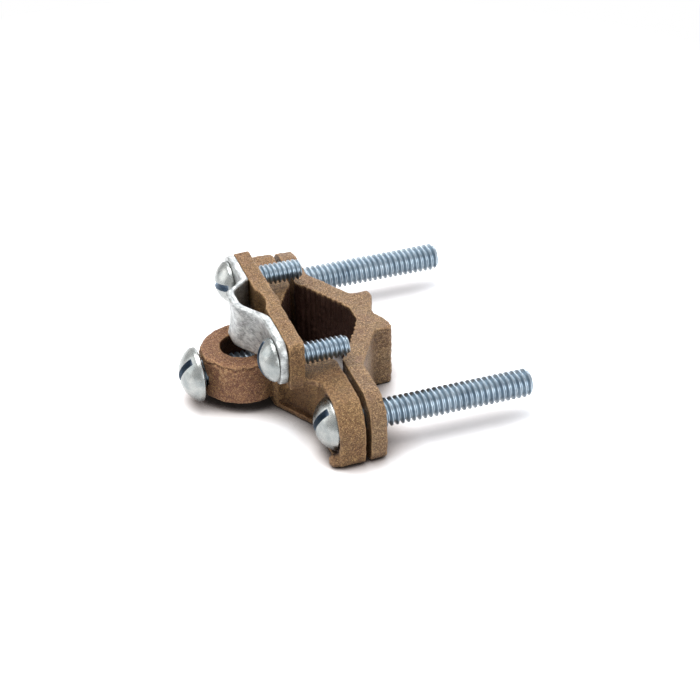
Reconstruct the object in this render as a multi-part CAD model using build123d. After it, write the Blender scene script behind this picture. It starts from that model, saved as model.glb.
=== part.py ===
from build123d import *
import os
from math import cos, pi, radians, sin, sqrt, tan

# Earth rod clamp. X runs along the five screws, Y across the clamp, Z up along the rod and the wire.
# The origin is under the axis of the wire ring, on the plane that the castings stand on.

# Castings
jaw_height = 15.0
wire_face_x = 16.5
jaw_gap = 1.0
ear_end_y = 35.2
ear_top_round = 6.6
ear_foot_round = 2.2
vee_half_angle = 60.0
vee_depth = 8.1
vee_flat = 4.8
tooth_pitch = 1.55
tooth_depth = 0.5
teeth_per_wall = 8
arm_wall = 6.1
arm_back_x = 4.4
ear_rim_x = 10.5
seat_x = 11.7
rib_height = 1.4
recess_radius = 6.5
bead_radius = 1.6
bead_y = 33.0
web_depth = 1.8
edge_round = 0.5

# Strap plate on the wire jaw; rises are measured from the top of the arms
plate_thickness = 3.8
plate_half_length = 20.75
plate_rise = 8.5
plate_root = 2.4
groove_depth = 1.0
groove_width = 8.0

# Wire ring
ring_radius = 9.1
ring_bore_radius = 4.7
ring_bottom_z = 2.4
ring_height = 10.1
ring_screw_rise = 4.6
nose_length = 0.2
nose_half_width = 2.6

# Pipe jaw
pipe_wall = 4.9
pipe_ear_thickness = 4.0
block_half_width = 8.2
block_back_x = 32.3
block_valley = 2.0

# Screws
long_spacing = 56.0
long_radius = 3.175
long_length = 44.45
big_head_radius = 6.0
big_head_height = 4.4
strap_spacing = 33.0
strap_screw_rise = 3.4
small_radius = 2.415
small_length = 16.4
small_head_radius = 4.7
small_head_height = 3.5
set_length = 12.7
set_head_gap = 0.7
slot_width = 1.5
slot_depth_share = 0.42
head_band_share = 0.25
shank_clearance = 0.10
thread_clearance = 0.05
tip_chamfer = 0.6

# Cable strap
strap_thickness = 2.0
strap_drop = 1.7
strap_rise = 8.9
strap_half_length = 21.2
strap_centre_y = 1.8
trim_margin = 0.5
strap_tab_round = 3.6
strap_waist_depth = 3.75
strap_flare = 1.1
bulge_flat = 1.5
bulge_back_foot = 7.0
bulge_front_foot = 11.5

# Turns of the screwdriver slots about the screws, in degrees
slot_turns = {"jaw_screw_front": 130, "jaw_screw_back": 160, "strap_screw_front": 100,
              "strap_screw_back": 156, "set_screw": 130}

# Worked out from the above
plate_bottom_z = jaw_height - plate_root
plate_top_z = jaw_height + plate_rise
strap_screw_z = jaw_height + strap_screw_rise
strap_bottom_z = jaw_height - strap_drop
strap_top_z = jaw_height + strap_rise
long_z = jaw_height / 2
boss_face_x = -ring_radius - nose_length
pipe_face_x = wire_face_x + jaw_gap
slope = 1 / tan(radians(vee_half_angle))
vee_half_open = vee_flat / 2 + vee_depth / slope
ring_top_z = ring_bottom_z + ring_height
set_z = ring_bottom_z + ring_screw_rise
plate_x = arm_back_x + plate_thickness
strap_seat_x = arm_back_x - strap_thickness


def slab(points, bottom, top, rounds=()):
    """Upright prism over a closed outline; rounds pairs an outline corner with its radius."""
    face = make_face(Polyline(*points, close=True))
    for corner, radius in rounds:
        vertex = face.vertices().sort_by_distance((corner[0], corner[1], 0))[0]
        face = fillet([vertex], radius)
    return extrude(Pos(0, 0, bottom) * face, amount=top - bottom)


def both_sides(points):
    """Outline given from the middle plane to the -Y end, completed by its mirror image."""
    return points + [(x, -y) for x, y in reversed(points) if y != 0]


def rod_along_x(radius, start, end, y, z):
    """Solid cylinder parallel to X."""
    return Pos((start + end) / 2, y, z) * Rot(0, 90, 0) * Cylinder(radius, end - start)


def block(x0, x1, y0, y1, z0, z1):
    """Box between two opposite corners."""
    return Pos((x0 + x1) / 2, (y0 + y1) / 2, (z0 + z1) / 2) * Box(x1 - x0, y1 - y0, z1 - z0)


def ear_blank(end_y):
    """Envelope of a jaw seen along the screws: ears round over at the top and are squarer at the foot."""
    reach = 2 * block_back_x
    blank = block(-reach, reach, -end_y, end_y, 0, jaw_height)
    edges = blank.edges().filter_by(Axis.X).group_by(Axis.Z)
    blank = fillet(edges[-1], ear_top_round)
    return fillet(blank.edges().filter_by(Axis.X).group_by(Axis.Z)[0], ear_foot_round)


def soften(body, face_x):
    """Cast rounding on every edge but those of the flat mating face."""
    edges = body.edges().filter_by(lambda edge: abs(edge.center().X - face_x) > 0.01)
    return fillet(edges, edge_round)


def vee_void(face_x, direction):
    """Space for the rod: a truncated vee with upright teeth, opening from face_x against direction."""
    flat_x = face_x + direction * vee_depth
    outside = face_x - direction * 2
    points = [(outside, -vee_half_open), (face_x, -vee_half_open), (flat_x, -vee_flat / 2)]
    points += [(flat_x, vee_flat / 2), (face_x, vee_half_open), (outside, vee_half_open)]
    void = slab(points, -1, jaw_height + 1)
    wall_length = vee_depth / cos(radians(vee_half_angle))
    along = (sin(radians(vee_half_angle)), -direction * cos(radians(vee_half_angle)))
    for side in (-1, 1):
        for index in range(teeth_per_wall):
            run = wall_length / 2 + (index - (teeth_per_wall - 1) / 2) * tooth_pitch
            y = side * (vee_flat / 2 + run * along[0])
            x = flat_x + run * along[1]
            half = tooth_pitch / 2
            turn_y, turn_x = side * along[0] * half, along[1] * half
            deep_x = direction * tooth_depth * sin(radians(vee_half_angle))
            deep_y = side * tooth_depth * cos(radians(vee_half_angle))
            notch = [(x - turn_x, y - turn_y), (x + turn_x, y + turn_y), (x + deep_x, y + deep_y)]
            void += slab(notch, -1, jaw_height + 1)
    return void


def wire_jaw():
    """Casting with the vee seat, two eared arms, the strap plate and the wire ring."""
    arm_x_step = arm_wall / sin(radians(vee_half_angle))
    vee_flat_x = wire_face_x - vee_depth
    # the arm's outer line is the vee wall moved out by the arm's thickness
    start_y = vee_flat / 2 + (arm_back_x - vee_flat_x + arm_x_step) / slope
    elbow_y = vee_flat / 2 + (ear_rim_x - vee_flat_x + arm_x_step) / slope
    outline = both_sides([(arm_back_x, -start_y), (ear_rim_x, -elbow_y), (ear_rim_x, -ear_end_y),
                          (wire_face_x, -ear_end_y)])
    corners = [((ear_rim_x, side * elbow_y), 3.0) for side in (-1, 1)]
    body = slab(outline, 0, jaw_height, corners) & ear_blank(ear_end_y)
    body = soften(body, wire_face_x)

    # channels in the outer faces leave a rib along the top, the end and the bottom of each arm
    web_step = web_depth / sin(radians(vee_half_angle))
    inner_y = start_y + 1.0
    floor_y = vee_flat / 2 + (seat_x - vee_flat_x + arm_x_step - web_step) / slope
    floor_start = vee_flat_x - arm_x_step + web_step + (inner_y - vee_flat / 2) * slope
    for side in (-1, 1):
        end_y = long_spacing / 2
        channel = [(0, side * inner_y), (floor_start, side * inner_y), (seat_x, side * floor_y),
                   (seat_x, side * end_y), (0, side * end_y)]
        body -= slab(channel, rib_height, jaw_height - rib_height)
        body -= rod_along_x(recess_radius, 0, seat_x, side * end_y, long_z)
        body += Pos(ear_rim_x - 0.3, side * bead_y, bead_radius) * Sphere(bead_radius)

    # flange and plate for the strap
    flange_end = long_spacing / 2 - 4.2
    inside_x = wire_face_x - 2.5
    flange = both_sides([(arm_back_x, -plate_half_length), (plate_x, -plate_half_length - 0.3),
                         (seat_x - 0.4, -flange_end), (inside_x, -flange_end),
                         (inside_x, -vee_half_open), (vee_flat_x - 1.8, -vee_flat / 2)])
    rounds = [((plate_x, side * (plate_half_length + 0.3)), 1.5) for side in (-1, 1)]
    body += slab(flange, jaw_height - rib_height - 0.2, jaw_height, rounds)
    plate = block(arm_back_x, plate_x, -plate_half_length, plate_half_length, plate_bottom_z, plate_top_z)
    plate = fillet(plate.edges().filter_by(Axis.X).group_by(Axis.Z)[-1], 1.2)
    swell_radius = (groove_width ** 2 / 4 + groove_depth ** 2) / (2 * groove_depth)
    groove_x = arm_back_x + groove_depth - swell_radius
    swell_height = plate_top_z - jaw_height
    swell = Pos(groove_x, 0, (plate_top_z + jaw_height) / 2) * Cylinder(
        swell_radius + plate_thickness - 0.6, swell_height)
    swell &= block(plate_x - 1, plate_x + 2, -groove_width, groove_width, jaw_height, plate_top_z)
    plate = fillet((plate + swell).edges().group_by(Axis.Z)[-1], 0.35)
    body += plate

    # ring with its screw boss
    ring = Pos(0, 0, (ring_bottom_z + ring_top_z) / 2) * Cylinder(ring_radius, ring_height)
    nose_x = -ring_radius * cos(radians(35))
    nose = both_sides([(boss_face_x, -nose_half_width), (nose_x, nose_x * tan(radians(35)))])
    ring += slab(nose, ring_bottom_z, ring_top_z)
    rims = ring.edges().group_by(Axis.Z)
    body += fillet(rims[0] + rims[-1], 0.9)
    body -= vee_void(wire_face_x, -1)
    body -= Pos(0, 0, jaw_height) * Cylinder(ring_bore_radius, 3 * jaw_height)
    groove = Pos(groove_x, 0, jaw_height) * Cylinder(swell_radius, 3 * jaw_height)
    body -= groove & block(arm_back_x - 1, plate_x, -groove_width, groove_width, ring_top_z, plate_top_z + 1)

    # holes
    body -= rod_along_x(long_radius + thread_clearance, boss_face_x - 1, 0, 0, set_z)
    for side in (-1, 1):
        y = side * long_spacing / 2
        body -= rod_along_x(long_radius + shank_clearance, 0, wire_face_x + 1, y, long_z)
        y = side * strap_spacing / 2
        body -= rod_along_x(small_radius + thread_clearance, 0, plate_x + 1, y, strap_screw_z)
    return body


def pipe_jaw():
    """Casting with the second vee seat, two tapped ears and the grooved outer block."""
    flat_x = pipe_face_x + vee_depth
    back_step = pipe_wall / sin(radians(vee_half_angle))
    ear_x = pipe_face_x + pipe_ear_thickness
    elbow_y = vee_flat / 2 + (flat_x + back_step - ear_x) / slope
    shoulder_x = flat_x + back_step - (block_half_width - vee_flat / 2) * slope
    horn = block_half_width - 2.6
    outline = both_sides([(block_back_x - block_valley, 0), (block_back_x - block_valley + 0.25, -1.4),
                          (block_back_x, -horn), (block_back_x, -block_half_width),
                          (shoulder_x, -block_half_width), (ear_x, -elbow_y), (ear_x, -ear_end_y + 0.4),
                          (pipe_face_x, -ear_end_y + 0.4)])
    corners = []
    for side in (-1, 1):
        corners += [((block_back_x, side * horn), 1.0), ((block_back_x, side * block_half_width), 1.0)]
        corners += [((shoulder_x, side * block_half_width), 1.2), ((ear_x, side * elbow_y), 3.0)]
    body = slab(outline, 0, jaw_height, corners) & ear_blank(ear_end_y - 0.4)
    body = soften(body, pipe_face_x)
    body -= vee_void(pipe_face_x, 1)
    for side in (-1, 1):
        y = side * long_spacing / 2
        body -= rod_along_x(long_radius + thread_clearance, pipe_face_x - 1, ear_x + 1, y, long_z)
    return body


def slotted_screw(seat, y, z, radius, length, head_radius, head_height, slot_turn):
    """Round head with a slot, dome towards -X, shank towards +X from the seat plane."""
    band = head_height * head_band_share
    dome = head_height - band
    sphere_radius = (head_radius ** 2 + dome ** 2) / (2 * dome)
    head = rod_along_x(head_radius, -head_height, 0, 0, 0)
    head &= Pos(sphere_radius - head_height, 0, 0) * Sphere(sphere_radius)
    slot_depth = head_height * slot_depth_share
    slot = block(-head_height - 1, -head_height + slot_depth, -2 * head_radius, 2 * head_radius,
                 -slot_width / 2, slot_width / 2)
    head -= Rot(slot_turn, 0, 0) * slot
    shank = rod_along_x(radius, -0.5, length, 0, 0)
    shank = chamfer(shank.edges().group_by(Axis.X)[-1], tip_chamfer)
    return Pos(seat, y, z) * (head + shank)


def strap_section(height, depth):
    """Strap outline at one height: flat tabs with a rounded bulge of the given depth between them,
    steeper on its back side than on its front side."""
    def bulge(y):
        foot = bulge_back_foot if y > strap_centre_y else bulge_front_foot
        share = min(max((abs(y - strap_centre_y) - bulge_flat) / (foot - bulge_flat), 0), 1)
        return depth * (1 + cos(pi * share)) / 2
    count = 18
    start, span = strap_centre_y - bulge_front_foot, bulge_front_foot + bulge_back_foot
    ys = [start + span * index / count for index in range(count + 1)]
    inner = [(arm_back_x - bulge(y), y) for y in ys]
    outer = [(x - strap_thickness, y) for x, y in inner]
    low, high = -strap_half_length - trim_margin, strap_half_length + trim_margin
    edges = Line((arm_back_x, low), inner[0]) + Spline(*inner, tangents=((0, 1), (0, 1)))
    edges += Line(inner[-1], (arm_back_x, high))
    edges += Line((arm_back_x, high), (strap_seat_x, high)) + Line((strap_seat_x, high), outer[-1])
    edges += Spline(*outer, tangents=((0, 1), (0, 1)))
    edges += Line(outer[0], (strap_seat_x, low)) + Line((strap_seat_x, low), (arm_back_x, low))
    return Pos(0, 0, height) * make_face(edges)


def cable_strap():
    """Pressed strap: rounded tabs, a channel for the wire, a waist at mid height and flared ends."""
    steps = 4
    sections = []
    low, high = strap_bottom_z - trim_margin, strap_top_z + trim_margin
    for index in range(steps + 1):
        share = 2 * index / steps - 1
        height = low + (high - low) * index / steps
        sections.append(strap_section(height, strap_waist_depth + strap_flare * share ** 2))
    body = loft(sections)
    blank = Pos(0, 0, (strap_bottom_z + strap_top_z) / 2) * Box(
        2 * wire_face_x, 2 * strap_half_length, strap_top_z - strap_bottom_z)
    blank = fillet(blank.edges().filter_by(Axis.X), strap_tab_round)
    body &= blank
    for side in (-1, 1):
        y = side * strap_spacing / 2
        body -= rod_along_x(small_radius + shank_clearance, 0, plate_x, y, strap_screw_z)
    return body


def build():
    """Every piece of the clamp in its place."""
    big = (long_radius, long_length, big_head_radius, big_head_height)
    small = (small_radius, small_length, small_head_radius, small_head_height)
    half_long, half_strap = long_spacing / 2, strap_spacing / 2
    nodes = {"wire_jaw": wire_jaw(), "pipe_jaw": pipe_jaw(), "cable_strap": cable_strap()}
    places = {"jaw_screw_front": (seat_x, -half_long, long_z, *big),
              "jaw_screw_back": (seat_x, half_long, long_z, *big),
              "strap_screw_front": (strap_seat_x, -half_strap, strap_screw_z, *small),
              "strap_screw_back": (strap_seat_x, half_strap, strap_screw_z, *small),
              "set_screw": (boss_face_x - set_head_gap, 0, set_z, long_radius, set_length,
                            big_head_radius, big_head_height)}
    for name, place in places.items():
        nodes[name] = slotted_screw(*place, slot_turns[name])
    return nodes


os.makedirs("parts", exist_ok=True)
for name, solid in build().items():
    export_step(solid, f"parts/{name}.step")
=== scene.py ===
import bmesh
import bpy
import numpy as np
from mathutils import Matrix, Vector


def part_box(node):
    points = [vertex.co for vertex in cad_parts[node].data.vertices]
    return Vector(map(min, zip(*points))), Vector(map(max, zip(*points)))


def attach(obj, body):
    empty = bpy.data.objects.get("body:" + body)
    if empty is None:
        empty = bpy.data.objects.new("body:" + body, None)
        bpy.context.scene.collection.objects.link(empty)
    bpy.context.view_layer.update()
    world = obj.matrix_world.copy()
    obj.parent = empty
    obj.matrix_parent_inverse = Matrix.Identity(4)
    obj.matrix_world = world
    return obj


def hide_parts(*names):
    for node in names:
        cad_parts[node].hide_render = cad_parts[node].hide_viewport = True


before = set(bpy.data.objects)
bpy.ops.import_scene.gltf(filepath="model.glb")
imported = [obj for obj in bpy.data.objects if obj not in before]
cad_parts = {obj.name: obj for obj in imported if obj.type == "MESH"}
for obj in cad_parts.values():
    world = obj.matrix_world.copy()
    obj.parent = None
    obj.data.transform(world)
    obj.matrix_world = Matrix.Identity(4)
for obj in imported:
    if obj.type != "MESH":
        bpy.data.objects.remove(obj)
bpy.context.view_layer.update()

# Screw forms, in metres
BIG = {"major": 0.003120, "pitch": 0.00127, "head_radius": 0.006, "head_height": 0.0044}
JAW = {**BIG, "head_radius": 0.0057}
SMALL = {"major": 0.002370, "pitch": 0.0010583, "head_radius": 0.0047, "head_height": 0.0035}
SLOT_WIDTH = 0.0016
SLOT_DEPTH_SHARE = 0.56
HEAD_BAND_SHARE = 0.25
THREAD_DEPTH_SHARE = 0.58
MERGE = 2e-6
TIP_SHARE = 0.995

# Seats of the rod: place and lean of the two toothed vees
VEE_SLOPE = 0.57735
VEE_FLAT_HALF = 0.0024
WIRE_VEE_X = 0.0084
PIPE_VEE_X = 0.0256

# Axes of the two jaw screws, front and back alike
low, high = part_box("jaw_screw_back")
JAW_SCREW_Y = (low[1] + high[1]) / 2
JAW_SCREW_Z = (low[2] + high[2]) / 2

# Cast skin: size of its mesh's cells, and (wavelength, height) of its lumps
SKIN_CELL = 0.00028
CAST_LUMPS = ((0.0040, 0.00005), (0.0016, 0.000032), (0.0008, 0.000022))
SHEET_LUMPS = ((0.0050, 0.00003),)
PARTING_Z = 0.0116
RING_RADIUS = 0.0091
BORE_RADIUS = 0.0047

# Where painted shade darkens the bronze, and with RING_SIDE where it turns redder: (place of the full
# tone, place where it has faded out)
SEAT_DEPTH = (-0.00061, -0.0010)
SEAT_TOP = (0.0140, 0.0149)
BORE_WALL = (BORE_RADIUS, 1.09 * BORE_RADIUS)
BORE_TOP = (0.0108, 0.0120)
ARM_FACE = (0.0100, 0.0112)
ARM_START = (0.0112, 0.0088)
ARM_TOP = (0.0140, 0.0156)
HEAD_SEAT_EDGE = (0.0065, 0.0073)
HEAD_SEAT_FACE = (0.0120, 0.0128)
RING_SIDE = (0.0005, 0.0045)

# Floor: half its width, its plain tone, how far its painted shadows reach, its glow and where it fades to
# white
FLOOR_HALF = 1.5
FLOOR_TONE = (0.86, 0.86, 0.87)
CLOSE_REACH = 0.010
WALL_REACH = 0.05
FLOOR_GLOW = 0.36
FLOOR_FADE = (0.10, 0.22)


# ---------------------------------------------------------------- meshes

def finish_mesh(name, parts, sharp_angle):
    """Joins (vertices, quads) parts into one object, merges doubles and points the faces outwards."""
    verts, faces, count = [], [], 0
    for points, quads in parts:
        verts.append(points)
        faces += (quads + count).tolist()
        count += len(points)
    mesh = bpy.data.meshes.new(name)
    mesh.from_pydata(np.concatenate(verts).tolist(), [], faces)
    work = bmesh.new()
    work.from_mesh(mesh)
    bmesh.ops.remove_doubles(work, verts=work.verts, dist=MERGE)
    bmesh.ops.dissolve_degenerate(work, edges=work.edges, dist=MERGE / 2)
    bmesh.ops.recalc_face_normals(work, faces=work.faces)
    work.to_mesh(mesh)
    work.free()
    mesh.polygons.foreach_set("use_smooth", [True] * len(mesh.polygons))
    mesh.set_sharp_from_angle(angle=np.radians(sharp_angle))
    piece = bpy.data.objects.new(name, mesh)
    bpy.context.scene.collection.objects.link(piece)
    return piece


def grid_quads(rows, columns):
    """Quads of a rows by columns grid of vertices, row by row."""
    first = np.arange(rows * columns).reshape(rows, columns)
    a, b = first[:-1, :-1], first[:-1, 1:]
    c, d = first[1:, 1:], first[1:, :-1]
    return np.stack([a, b, c, d], axis=-1).reshape(-1, 4)


def surface(rows, columns, place):
    """Grid surface: place takes two arrays, 0 to 1 down the rows and across the columns."""
    u, v = np.meshgrid(np.linspace(0, 1, rows), np.linspace(0, 1, columns), indexing="ij")
    points = np.stack(place(u, v), axis=-1).reshape(-1, 3)
    return points, grid_quads(rows, columns)


def head_dome(form, turn):
    """Slotted dome. Across the slot runs s, along it t; the height over the seat is the sphere's cap
    on a short band, cut down to the slot's floor where s lies within half the slot's width."""
    radius, height = form["head_radius"], form["head_height"]
    band = height * HEAD_BAND_SHARE
    cap = height - band
    sphere = (radius ** 2 + cap ** 2) / (2 * cap)
    floor = height * (1 - SLOT_DEPTH_SHARE)
    half = SLOT_WIDTH / 2
    dome_rows, slot_rows = 26, 5
    outer = half + (radius - half) * np.sin(np.linspace(0, np.pi / 2, dome_rows))
    inner = np.linspace(-half, half, slot_rows)
    s = np.concatenate([-outer[::-1], inner, outer])
    cut = np.concatenate([np.zeros(dome_rows), np.ones(slot_rows), np.zeros(dome_rows)])
    t = np.sin(np.linspace(-np.pi / 2, np.pi / 2, 49))
    s_grid, t_grid = np.meshgrid(s, t, indexing="ij")
    along = t_grid * np.sqrt(np.maximum(radius ** 2 - s_grid ** 2, 0))
    spread = np.minimum(s_grid ** 2 + along ** 2, radius ** 2)
    rise = np.sqrt(sphere ** 2 - spread) - (sphere - cap) + band
    rise = np.where(cut[:, None] > 0, np.minimum(rise, floor), rise)
    y = s_grid * -np.sin(turn) + along * np.cos(turn)
    z = s_grid * np.cos(turn) + along * np.sin(turn)
    points = np.stack([-rise, y, z], axis=-1).reshape(-1, 3)
    rim_angle = np.arctan2(z[:, [0, -1]], y[:, [0, -1]])
    return points, grid_quads(len(s), len(t)), np.unique(np.round(rim_angle.ravel(), 9))


def head_skirt(form, angles):
    """Band below the dome and flat underside: a profile of three radii swept round the screw's axis."""
    radius = form["head_radius"]
    band = form["head_height"] * HEAD_BAND_SHARE
    corner = 0.0002
    inner = form["major"] * 0.6
    profile = np.array([(-band, radius), (-corner, radius), (0, radius - corner), (0, inner)])
    angles = np.append(angles, angles[0] + 2 * np.pi)
    x = np.repeat(profile[:, :1], len(angles), axis=1)
    r = profile[:, 1:]
    points = np.stack([x, r * np.cos(angles), r * np.sin(angles)], axis=-1).reshape(-1, 3)
    return points, grid_quads(len(profile), len(angles))


def threaded_shank(form, length, plain):
    """Helical thread as a height field on a cylinder. Rows follow the helix: at angle a the row i lies at
    x = (i / samples + a / 2 pi) * pitch. The radius is a flat-topped wave between crest and root, held
    down near the head to a plain neck and at the tip to the chamfer's cone."""
    samples, segments = 12, 56
    pitch, crest = form["pitch"], form["major"]
    root = crest - THREAD_DEPTH_SHARE * pitch
    rows = int(np.ceil(length / pitch) + 1) * samples + 1
    row, angle = np.meshgrid(np.arange(-samples, rows), np.linspace(0, 1, segments + 1), indexing="ij")
    x = (row / samples + angle) * pitch
    wave = np.abs((row / samples) % 1 - 0.5) * 2
    wave = np.clip((wave - 0.22) / 0.62, 0, 1)
    wave = wave * wave * (3 - 2 * wave) * 0.35 + wave * 0.65
    r = root + (crest - root) * wave
    x = np.clip(x, 0, length)
    neck = (crest + root) / 2
    blend = np.clip((x - plain) / (0.6 * pitch), 0, 1)
    r = neck + (r - neck) * blend
    r = np.minimum(r, root * TIP_SHARE + np.maximum(length - x, 0) * 0.9)
    around = 2 * np.pi * angle
    points = np.stack([x, r * np.cos(around), r * np.sin(around)], axis=-1).reshape(-1, 3)
    return points, grid_quads(x.shape[0], x.shape[1])


def tip_disc(form, length):
    """Flat end of the screw: rings from the root circle to the middle, slightly dished."""
    edge = (form["major"] - THREAD_DEPTH_SHARE * form["pitch"]) * TIP_SHARE
    return surface(5, 57, lambda u, v: (
        length - 0.00012 * u, edge * (1 - u) * np.cos(2 * np.pi * v),
        edge * (1 - u) * np.sin(2 * np.pi * v)))


def screw(name, node, body, form, slot_turn, material, plain=0.0006):
    """Slotted round-head screw in the place of its CAD node, head towards -X."""
    low, high = (np.array(corner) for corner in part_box(node))
    seat = low[0] + form["head_height"]
    length = high[0] - seat
    dome, dome_quads, rim = head_dome(form, np.radians(slot_turn))
    parts = [(dome, dome_quads), head_skirt(form, rim), threaded_shank(form, length, plain),
             tip_disc(form, length)]
    place = np.array([seat, (low[1] + high[1]) / 2, (low[2] + high[2]) / 2])
    piece = finish_mesh(name, [(points + place, quads) for points, quads in parts], 35)
    for part in ("head", "thread", "slot"):
        piece.data.materials.append(material[part])
    cut = seat - form["head_height"] * (1 - SLOT_DEPTH_SHARE)
    # Faces in the slot take the darker slot zinc: painted shade in the slot.
    for face in piece.data.polygons:
        x, y, z = face.center - Vector(place)
        across = abs(z * np.cos(np.radians(slot_turn)) - y * np.sin(np.radians(slot_turn)))
        in_slot = across < SLOT_WIDTH / 2 + 1e-5 and x < cut - seat + 2e-5
        face.material_index = 1 if x > 0 else 2 if in_slot else 0
    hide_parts(node)
    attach(piece, body)


def lumps(points, waves, seed):
    """Uneven surface: for each (wavelength, height) of waves a sum of 14 sine waves in seeded random
    directions, height * (sum(sin(2 pi (point . direction) / wavelength + phase)) / sqrt(14) - 1.2)."""
    random = np.random.default_rng(seed)
    total = np.zeros(len(points))
    for wavelength, height in waves:
        directions = random.normal(size=(14, 3))
        directions /= np.linalg.norm(directions, axis=1)[:, None]
        phases = random.uniform(0, 2 * np.pi, 14)
        swell = np.sin(points @ directions.T * (2 * np.pi / wavelength) + phases).sum(axis=1)
        total += height * (swell / np.sqrt(14) - 1.2)
    return total


def parting_groove(points):
    """Depth of the casting's parting line: a jagged groove round the outside of the ring. Its height is
    PARTING_Z plus three sines of the angle. It is deepest in its middle and gone behind X = 3.5 mm."""
    angle = np.arctan2(points[:, 1], points[:, 0])
    wander = np.sin(7 * angle) + np.sin(17 * angle + 1.3) * 0.9 + np.sin(41 * angle + 0.4) * 0.7
    wander *= 0.00016
    off = np.abs(points[:, 2] - PARTING_Z - wander) / 0.00042
    outside = np.hypot(points[:, 0], points[:, 1]) > RING_RADIUS - 0.0009
    return 0.00038 * np.clip(1 - off, 0, 1) * outside * np.clip((0.0035 - points[:, 0]) / 0.001, 0, 1)


def skin(name, node, body, material, waves, seed, rounds, groove=None):
    """Piece in the place of its CAD node: its merged mesh gets one even skin of small cells, which
    rounds the edges, more with more rounds, and each vertex moves along its normal by the lumps."""
    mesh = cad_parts[node].data.copy()
    work = bmesh.new()
    work.from_mesh(mesh)
    bmesh.ops.remove_doubles(work, verts=work.verts, dist=1e-6)
    work.to_mesh(mesh)
    work.free()
    blank = bpy.data.objects.new(name + "_blank", mesh)
    bpy.context.scene.collection.objects.link(blank)
    cells = blank.modifiers.new("cells", "REMESH")
    cells.mode = "VOXEL"
    cells.voxel_size = SKIN_CELL
    relax = blank.modifiers.new("relax", "SMOOTH")
    relax.factor = 0.5
    relax.iterations = rounds
    ready = blank.evaluated_get(bpy.context.evaluated_depsgraph_get())
    mesh = bpy.data.meshes.new_from_object(ready)
    bpy.data.objects.remove(blank)
    count = len(mesh.vertices)
    points = np.empty(3 * count)
    normals = np.empty(3 * count)
    mesh.vertices.foreach_get("co", points)
    mesh.vertex_normals.foreach_get("vector", normals)
    points, normals = points.reshape(-1, 3), normals.reshape(-1, 3)
    shift = lumps(points, waves, seed)
    if groove:
        shift = shift - groove(points)
    points = points + normals * shift[:, None]
    points[:, 2] = np.maximum(points[:, 2], 0)
    mesh.vertices.foreach_set("co", points.ravel())
    mesh.polygons.foreach_set("use_smooth", [True] * len(mesh.polygons))
    mesh.update()
    piece = bpy.data.objects.new(name, mesh)
    bpy.context.scene.collection.objects.link(piece)
    mesh.materials.clear()
    mesh.materials.append(material)
    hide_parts(node)
    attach(piece, body)


# ---------------------------------------------------------------- materials

class Nodes:
    """Short way to write a material's node tree."""

    def __init__(self, name):
        self.material = bpy.data.materials.new(name)
        self.material.use_nodes = True
        self.tree = self.material.node_tree
        self.shader = self.tree.nodes["Principled BSDF"]
        self.place = self.add("ShaderNodeTexCoord").outputs["Object"]

    def add(self, kind, inputs=None, **settings):
        node = self.tree.nodes.new(kind)
        for key, value in settings.items():
            setattr(node, key, value)
        for key, value in (inputs or {}).items():
            self.feed(node.inputs[key], value)
        return node

    def feed(self, socket, value):
        if isinstance(value, bpy.types.NodeSocket):
            self.tree.links.new(value, socket)
        else:
            socket.default_value = value

    def noise(self, size, detail, roughness, seed, place=None):
        """Noise whose blotches are about size metres across."""
        node = self.add("ShaderNodeTexNoise", {
            "Vector": place or self.place, "Scale": 1 / size, "Detail": detail, "Roughness": roughness,
            "W": seed}, noise_dimensions="4D")
        return node.outputs["Fac"]

    def ramp(self, value, stops):
        """Colour ramp; stops are (position, colour or grey)."""
        node = self.add("ShaderNodeValToRGB", {"Fac": value})
        band = node.color_ramp
        while len(band.elements) < len(stops):
            band.elements.new(0.5)
        for element, (position, colour) in zip(band.elements, stops):
            element.position = position
            grey = isinstance(colour, (int, float))
            element.color = (colour, colour, colour, 1) if grey else (*colour, 1)
        return node.outputs["Color"]

    def mix(self, share, first, second, blend="MIX"):
        node = self.add("ShaderNodeMix", data_type="RGBA", blend_type=blend)
        self.feed(node.inputs[0], share)
        for socket, value in ((node.inputs[6], first), (node.inputs[7], second)):
            grey = isinstance(value, (int, float))
            if grey:
                value = (value, value, value, 1)
            elif isinstance(value, tuple) and len(value) == 3:
                value = (*value, 1)
            self.feed(socket, value)
        return node.outputs[2]

    def math(self, kind, first, second=0.0):
        node = self.add("ShaderNodeMath", operation=kind)
        self.feed(node.inputs[0], first)
        self.feed(node.inputs[1], second)
        return node.outputs[0]

    def fade(self, value, places):
        """Share that is 1 at the first place and beyond it, and falls straight to 0 at the second."""
        full, gone = places
        node = self.add("ShaderNodeMapRange", {
            "Value": value, "From Min": full, "From Max": gone, "To Min": 1.0, "To Max": 0.0})
        return node.outputs["Result"]

    def length(self, vector):
        return self.add("ShaderNodeVectorMath", {0: vector}, operation="LENGTH").outputs["Value"]

    def bump(self, height, distance, strength=1.0, below=None):
        node = self.add("ShaderNodeBump", {"Height": height, "Distance": distance, "Strength": strength})
        if below is not None:
            self.feed(node.inputs["Normal"], below)
        return node.outputs["Normal"]


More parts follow.
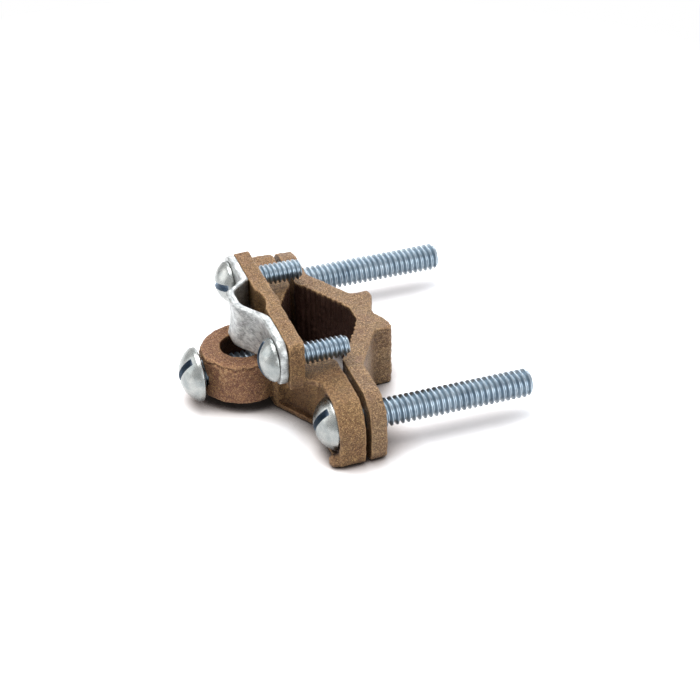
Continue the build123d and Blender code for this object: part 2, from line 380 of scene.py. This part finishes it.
def mottled_skin(n, x, fine, grain, seed, tint):
    """Plain skin: tan and olive patches, redder towards the ring, dark pits and gold specks, the whole
    multiplied by the tint, and painted glints in the grain: gold highlights painted into the colour."""
    patches = n.noise(0.0075, 3.0, 0.6, seed)
    tan = n.ramp(patches, [(0.32, (0.150, 0.074, 0.036)), (0.46, (0.175, 0.096, 0.040)),
                           (0.58, (0.190, 0.116, 0.048)), (0.72, (0.215, 0.108, 0.062))])
    red = n.ramp(patches, [(0.35, (0.170, 0.066, 0.040)), (0.65, (0.230, 0.098, 0.064))])
    colour = n.mix(n.fade(x, RING_SIDE), tan, red)
    specks = n.ramp(fine, [(0.38, (0.022, 0.010, 0.006)), (0.50, (0.130, 0.062, 0.028)),
                           (0.62, (0.400, 0.235, 0.100))])
    colour = n.mix(0.55, colour, specks)
    colour = n.mix(1.0, colour, tint, "MULTIPLY")
    # Painted highlight: sparse bright gold glints mixed into the colour where the grain is high.
    painted_glint = n.ramp(grain, [(0.58, 0.0), (0.66, 1.0)])
    return n.mix(n.math("MULTIPLY", painted_glint, 0.7), colour, (0.72, 0.47, 0.21))


def seat_shade_share(n, x, y, z, seat_sign, vee_x):
    """Share of the painted shade on the toothed seat and in the ring's bore. The seat lies on the rod's
    side of a line that starts at vee_x on the flat and leans by VEE_SLOPE along the walls."""
    side = n.math("MAXIMUM", n.math("SUBTRACT", n.math("ABSOLUTE", y), VEE_FLAT_HALF), 0.0)
    line = n.math("ADD", n.math("MULTIPLY", side, seat_sign * VEE_SLOPE), vee_x)
    depth = n.math("MULTIPLY", n.math("SUBTRACT", x, line), seat_sign)
    seat = n.math("MULTIPLY", n.fade(depth, SEAT_DEPTH), n.fade(z, SEAT_TOP))
    off_ring = n.length(n.add("ShaderNodeCombineXYZ", {"X": x, "Y": y}).outputs[0])
    bore = n.math("MULTIPLY", n.fade(off_ring, BORE_WALL), n.fade(z, BORE_TOP))
    return n.math("MAXIMUM", seat, bore)


def arm_face_shade_share(n, x, y, z):
    """Share of the painted shade on the arms' channelled faces, towards -X."""
    out = n.fade(n.math("ABSOLUTE", y), ARM_START)
    return n.math("MULTIPLY", n.math("MULTIPLY", n.fade(x, ARM_FACE), out), n.fade(z, ARM_TOP))


def head_seat_shade_share(n, x, y, z):
    """Share of the painted shade in the round recesses under the jaw screws' heads."""
    off_screw = n.length(n.add("ShaderNodeCombineXYZ", {
        "Y": n.math("SUBTRACT", n.math("ABSOLUTE", y), JAW_SCREW_Y),
        "Z": n.math("SUBTRACT", z, JAW_SCREW_Z)}).outputs[0])
    return n.math("MULTIPLY", n.fade(off_screw, HEAD_SEAT_EDGE), n.fade(x, HEAD_SEAT_FACE))


def cast_bronze(name, seat_sign, vee_x, seed, tint):
    """Sand-cast bronze: a mottled skin, painted shade in dark brown on the toothed seat and in the ring,
    painted shade on the arms' faces, round the screw heads and in hollows, worn bright edges and a
    stippled grain."""
    n = Nodes(name)
    x, y, z = n.add("ShaderNodeSeparateXYZ", {"Vector": n.place}).outputs
    fine = n.noise(0.00034, 3.0, 0.7, seed + 2)
    grain = n.noise(0.00020, 2.0, 0.5, seed + 5)
    edges = n.add("ShaderNodeNewGeometry").outputs["Pointiness"]
    colour = mottled_skin(n, x, fine, grain, seed, tint)
    seat = seat_shade_share(n, x, y, z, seat_sign, vee_x)
    # Painted shade in hollows: low pointiness darkens the colour.
    hollow_shade = n.ramp(edges, [(0.43, 1.0), (0.495, 0.0)])
    # Painted shade, layer by layer: darker browns in the seat and bore, on the arms' faces, round the
    # screw heads and in hollows.
    painted_shade_layers = ((seat, 0.93, (0.050, 0.019, 0.013)),
              (arm_face_shade_share(n, x, y, z), 0.40, (0.070, 0.030, 0.017)),
              (head_seat_shade_share(n, x, y, z), 0.85, (0.020, 0.009, 0.007)),
              (hollow_shade, 0.75, (0.030, 0.014, 0.009)))
    for share, strength, tone in painted_shade_layers:
        colour = n.mix(n.math("MULTIPLY", share, strength), colour, tone)
    worn = n.math("MULTIPLY", n.ramp(edges, [(0.51, 0.0), (0.56, 1.0)]), n.math("SUBTRACT", 1.0, seat))
    colour = n.mix(n.math("MULTIPLY", worn, 0.5), colour, (0.46, 0.28, 0.14))
    n.feed(n.shader.inputs["Base Color"], colour)
    n.feed(n.shader.inputs["Metallic"], 0.6)
    n.feed(n.shader.inputs["Roughness"], n.ramp(fine, [(0.3, 0.60), (0.7, 0.34)]))
    normal = n.bump(n.noise(0.0022, 2.0, 0.5, seed + 8), 0.00035, 0.6)
    normal = n.bump(fine, 0.00036, 0.9, normal)
    normal = n.bump(grain, 0.00016, 0.9, normal)
    n.feed(n.shader.inputs["Normal"], normal)
    return n.material


def bright_zinc(name, tones, rough):
    """Bright zinc plate: three tones in soft clouds, faint handling marks and a range of roughness."""
    n = Nodes(name)
    clouds = n.noise(0.0022, 3.0, 0.5, 1.0)
    marks = n.noise(0.0005, 4.0, 0.7, 3.0)
    colour = n.ramp(clouds, [(0.3, tones[0]), (0.55, tones[1]), (0.75, tones[2])])
    n.feed(n.shader.inputs["Base Color"], colour)
    n.feed(n.shader.inputs["Metallic"], 1.0)
    n.feed(n.shader.inputs["Roughness"], n.ramp(marks, [(0.3, rough[0]), (0.7, rough[1])]))
    n.feed(n.shader.inputs["Normal"], n.bump(marks, 0.00004, 0.5))
    return n.material


def galvanised_steel(name):
    """Dull galvanised sheet: grey mottling, fine dents and light scratches along the strap."""
    n = Nodes(name)
    mottle = n.noise(0.0016, 4.0, 0.65, 4.0)
    stretch = n.add("ShaderNodeMapping", {"Vector": n.place, "Scale": (1.0, 0.25, 1.6)}).outputs[0]
    scratch = n.noise(0.0005, 3.0, 0.7, 6.0, stretch)
    colour = n.ramp(mottle, [(0.3, (0.15, 0.15, 0.15)), (0.5, (0.29, 0.30, 0.295)),
                             (0.70, (0.50, 0.51, 0.50))])
    streaks = n.ramp(scratch, [(0.50, 0.0), (0.66, 1.0)])
    colour = n.mix(n.math("MULTIPLY", streaks, 0.55), colour, (0.62, 0.63, 0.62))
    pits = n.ramp(scratch, [(0.34, 1.0), (0.42, 0.0)])
    colour = n.mix(n.math("MULTIPLY", pits, 0.55), colour, (0.07, 0.07, 0.08))
    n.feed(n.shader.inputs["Base Color"], colour)
    n.feed(n.shader.inputs["Metallic"], 0.85)
    n.feed(n.shader.inputs["Roughness"], n.ramp(scratch, [(0.3, 0.46), (0.7, 0.28)]))
    normal = n.bump(mottle, 0.00012, 0.5)
    n.feed(n.shader.inputs["Normal"], n.bump(scratch, 0.00007, 0.6, normal))
    return n.material


# ---------------------------------------------------------------- the clamp

wire_bronze = cast_bronze("wire casting bronze", 1.0, WIRE_VEE_X, 0.0, (0.93, 0.92, 0.93))
pipe_bronze = cast_bronze("pipe casting bronze", -1.0, PIPE_VEE_X, 11.0, (0.96, 1.05, 1.32))
zinc = {
    "head": bright_zinc("zinc head", ((0.20, 0.22, 0.22), (0.30, 0.31, 0.30), (0.40, 0.40, 0.38)),
                        (0.20, 0.36)),
    "thread": bright_zinc("zinc thread", ((0.21, 0.26, 0.31), (0.30, 0.36, 0.41), (0.38, 0.43, 0.47)),
                          (0.28, 0.44)),
    # Darker, bluer zinc for the slot's faces: painted shade in the slot.
    "slot": bright_zinc("zinc slot painted shade", ((0.13, 0.17, 0.22), (0.20, 0.26, 0.33), (0.28, 0.35, 0.42)),
                        (0.35, 0.50))}
galvanised = galvanised_steel("dull galvanised sheet")

skin("wire_casting_skin", "wire_jaw", "wire_casting", wire_bronze, CAST_LUMPS, 3, 3,
     parting_groove)
skin("pipe_casting_skin", "pipe_jaw", "pipe_casting", pipe_bronze, CAST_LUMPS, 8, 3)
skin("strap_skin", "cable_strap", "strap", galvanised, SHEET_LUMPS, 5, 9)
screw("front_jaw_screw_thread", "jaw_screw_front", "front_jaw_screw", JAW, 113, zinc)
screw("back_jaw_screw_thread", "jaw_screw_back", "back_jaw_screw", JAW, 160, zinc)
screw("front_strap_screw_thread", "strap_screw_front", "front_strap_screw", SMALL, 66, zinc)
screw("back_strap_screw_thread", "strap_screw_back", "back_strap_screw", SMALL, 170, zinc)
screw("ring_screw_thread", "set_screw", "ring_screw", BIG, 113, zinc, 0.0001)


# ---------------------------------------------------------------- floor, light and camera

def seen_rays(tree):
    """1 for rays from the camera and for those that show in metal or glass, else 0."""
    rays = tree.nodes.new("ShaderNodeLightPath")
    total = rays.outputs["Is Camera Ray"]
    for kind in ("Is Glossy Ray", "Is Transmission Ray"):
        both = tree.nodes.new("ShaderNodeMath")
        both.operation = "MAXIMUM"
        tree.links.new(total, both.inputs[0])
        tree.links.new(rays.outputs[kind], both.inputs[1])
        total = both.outputs[0]
    return total


def floor_shade(n):
    """Floor's tone with a painted contact shadow: brown-grey where the object closes in on it, darkest
    where walls surround it.
    """
    # Painted shadow: two ambient occlusion reaches darken the floor's colour near the object and inside
    # the clamp.
    near = n.add("ShaderNodeAmbientOcclusion", {"Distance": CLOSE_REACH}, samples=16).outputs["AO"]
    tone = n.ramp(near, [(0.28, (0.16, 0.125, 0.11)), (0.55, (0.52, 0.48, 0.465)), (0.88, FLOOR_TONE)])
    walled = n.add("ShaderNodeAmbientOcclusion", {"Distance": WALL_REACH}, samples=16).outputs["AO"]
    inside = n.add("ShaderNodeMapRange", {
        "Value": walled, "From Min": 0.20, "From Max": 0.36, "To Min": 0.10}).outputs["Result"]
    shade = n.add("ShaderNodeVectorMath", {0: tone, "Scale": inside}, operation="SCALE")
    return shade.outputs["Vector"]


def stage_floor():
    """Pale floor with a painted shadow, darker where the object closes in on it. To the camera and in
    gloss it also glows, and it fades to plain white between the two distances of FLOOR_FADE."""
    mesh = bpy.data.meshes.new("floor")
    corners = [(x * FLOOR_HALF, y * FLOOR_HALF, 0) for x, y in ((-1, -1), (1, -1), (1, 1), (-1, 1))]
    mesh.from_pydata(corners, [], [(0, 1, 2, 3)])
    floor = bpy.data.objects.new("floor", mesh)
    bpy.context.scene.collection.objects.link(floor)
    n = Nodes("pale floor")
    shade = floor_shade(n)
    n.feed(n.shader.inputs["Base Color"], shade)
    n.feed(n.shader.inputs["Roughness"], 0.9)
    n.feed(n.shader.inputs["Specular IOR Level"], 0.1)
    lit = n.shader.outputs[0]
    glow = n.add("ShaderNodeEmission", {"Color": shade, "Strength": FLOOR_GLOW}).outputs[0]
    bright = n.add("ShaderNodeAddShader", {0: lit, 1: glow}).outputs[0]
    start, end = FLOOR_FADE
    away = n.add("ShaderNodeMapRange", {
        "Value": n.length(n.place), "From Min": start, "From Max": end}).outputs["Result"]
    white = n.add("ShaderNodeEmission").outputs[0]
    far = n.add("ShaderNodeMixShader", {0: away, 1: bright, 2: white}).outputs[0]
    seen = n.add("ShaderNodeMixShader", {0: seen_rays(n.tree), 1: lit, 2: far}).outputs[0]
    n.feed(n.tree.nodes["Material Output"].inputs["Surface"], seen)
    mesh.materials.append(n.material)


def area_light(name, place, target, size, power, tint=(1, 1, 1)):
    """Square soft box at place, facing target."""
    data = bpy.data.lights.new(name, "AREA")
    data.size = size
    data.energy = power
    data.color = tint
    light = bpy.data.objects.new(name, data)
    light.location = place
    light.rotation_euler = (Vector(target) - Vector(place)).to_track_quat("-Z", "Y").to_euler()
    bpy.context.scene.collection.objects.link(light)


def studio_world():
    """Surroundings: white to the camera and in gloss and glass, and for fill a soft dome that is bright
    overhead and falls off towards the horizon, with a broad dark side to the front right."""
    world = bpy.data.worlds.new("studio")
    bpy.context.scene.world = world
    world.use_nodes = True
    tree = world.node_tree
    back = tree.nodes["Background"]
    place = tree.nodes.new("ShaderNodeTexCoord").outputs["Generated"]
    lean = tree.nodes.new("ShaderNodeVectorMath")
    lean.operation = "DOT_PRODUCT"
    lean.inputs[1].default_value = Vector((-0.30, 0.42, 0.86)).normalized()
    tree.links.new(place, lean.inputs[0])
    ramp = tree.nodes.new("ShaderNodeValToRGB")
    ramp.color_ramp.elements[0].position = 0.10
    ramp.color_ramp.elements[0].color = (0.055, 0.065, 0.085, 1)
    ramp.color_ramp.elements[1].position = 0.85
    ramp.color_ramp.elements[1].color = (0.80, 0.81, 0.82, 1)
    tree.links.new(lean.outputs["Value"], ramp.inputs["Fac"])
    pick = tree.nodes.new("ShaderNodeMix")
    pick.data_type = "RGBA"
    tree.links.new(seen_rays(tree), pick.inputs[0])
    tree.links.new(ramp.outputs["Color"], pick.inputs[6])
    pick.inputs[7].default_value = (1, 1, 1, 1)
    tree.links.new(pick.outputs[2], back.inputs["Color"])
    back.inputs["Strength"].default_value = 1.0


CAMERA_PLACE = (-0.0889, -0.3339, 0.2422)
CAMERA_RIGHT = (0.9444, -0.3287, -0.0094)
CAMERA_UP = (0.1907, 0.5241, 0.83)
CAMERA_LENS = 97.6


def set_camera():
    """Camera from its place and the directions of the picture's right and top."""
    data = bpy.data.cameras.new("camera")
    data.lens = CAMERA_LENS
    data.sensor_width = 36.0
    data.clip_start = 0.01
    camera = bpy.data.objects.new("camera", data)
    right = Vector(CAMERA_RIGHT).normalized()
    back = right.cross(Vector(CAMERA_UP)).normalized()
    up = back.cross(right)
    turn = Matrix((right, up, back)).transposed().to_4x4()
    camera.matrix_world = Matrix.Translation(CAMERA_PLACE) @ turn
    bpy.context.scene.collection.objects.link(camera)
    bpy.context.scene.camera = camera


stage_floor()
area_light("key", (-0.12, 0.08, 0.60), (0.015, 0, 0.01), 0.45, 4.7)
area_light("fill", (-0.55, 0.20, 0.20), (0.02, 0, 0.01), 0.45, 1.3)
area_light("front", (0.22, -0.50, 0.22), (0.02, 0, 0.01), 0.35, 1.3, (0.92, 0.96, 1.0))
area_light("rim", (0.25, 0.5, 0.35), (0.02, 0, 0.01), 0.35, 1.6, (0.93, 0.96, 1.0))
studio_world()
set_camera()
bpy.context.scene.view_settings.view_transform = "Standard"
